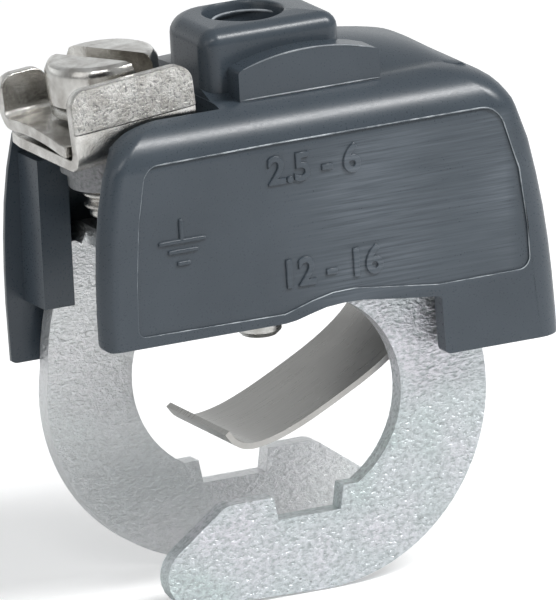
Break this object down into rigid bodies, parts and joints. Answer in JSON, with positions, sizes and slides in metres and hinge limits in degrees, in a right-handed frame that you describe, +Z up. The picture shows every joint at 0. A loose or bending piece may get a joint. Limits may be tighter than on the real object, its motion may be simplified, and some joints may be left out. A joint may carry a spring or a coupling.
{
  "type": "earthing pipe clamp",
  "caption": "Earthing clamp for 12 to 16 mm metal pipe: hooked steel stirrup under a plastic housing, pressing screw with spring leaf, and a screw terminal for the earth wire.",
  "frame": {"origin": "on the pipe's axis, midway between the two hooks", "axes": "+X along the housing away from the wire terminal, +Y along the pipe to the rear, +Z up along the pressing screw"},
  "size_m": [0.0431, 0.0208, 0.0482],
  "materials": {
    "housing_plastic": "semi-gloss moulded plastic, dark blue grey",
    "zinc_plated_steel": "zinc plated sheet, grainy",
    "leaf_steel": "satin spring strip",
    "screw_steel": "zinc plated",
    "nickel_plate": "bright nickel plate",
    "washer_steel": "plated spring steel"
  },
  "bodies": {
    "stirrup": {"housing": "housing_plastic", "clamp_frame": "zinc_plated_steel", "lower_saddle": "nickel_plate"},
    "pressing_screw": {"main_screw": "screw_steel"},
    "leaf": {"contact_leaf": "leaf_steel"},
    "wire_clamp": {"upper_saddle": "nickel_plate", "spring_washer": "washer_steel"},
    "wire_screw": {"terminal_screw": "nickel_plate"}
  },
  "joints": [
    {"name": "pressing_screw_travel", "type": "slide", "parent": "stirrup", "child": "pressing_screw", "axis": [0, 0, 1], "range_m": [-0.0005, 0.0042]},
    {"name": "leaf_swing", "type": "hinge", "parent": "stirrup", "child": "leaf", "pos_m": [0.0119, 0, 0.0115], "axis": [0, 1, 0], "range_deg": [0, 21], "stiffness_Nm_per_rad": 0.003},
    {"name": "wire_clamp_travel", "type": "slide", "parent": "stirrup", "child": "wire_clamp", "axis": [-0.0872, 0, 0.9962], "range_m": [0, 0.003]},
    {"name": "wire_screw_turn", "type": "hinge", "parent": "wire_clamp", "child": "wire_screw", "pos_m": [-0.0126, 0, 0.0227], "axis": [-0.0872, 0, 0.9962], "range_deg": [0, 1080]}
  ],
  "couplings": [
    {"joint": "wire_screw_turn", "follows": "wire_clamp_travel", "rad_per_m": 6283.2}
  ]
}
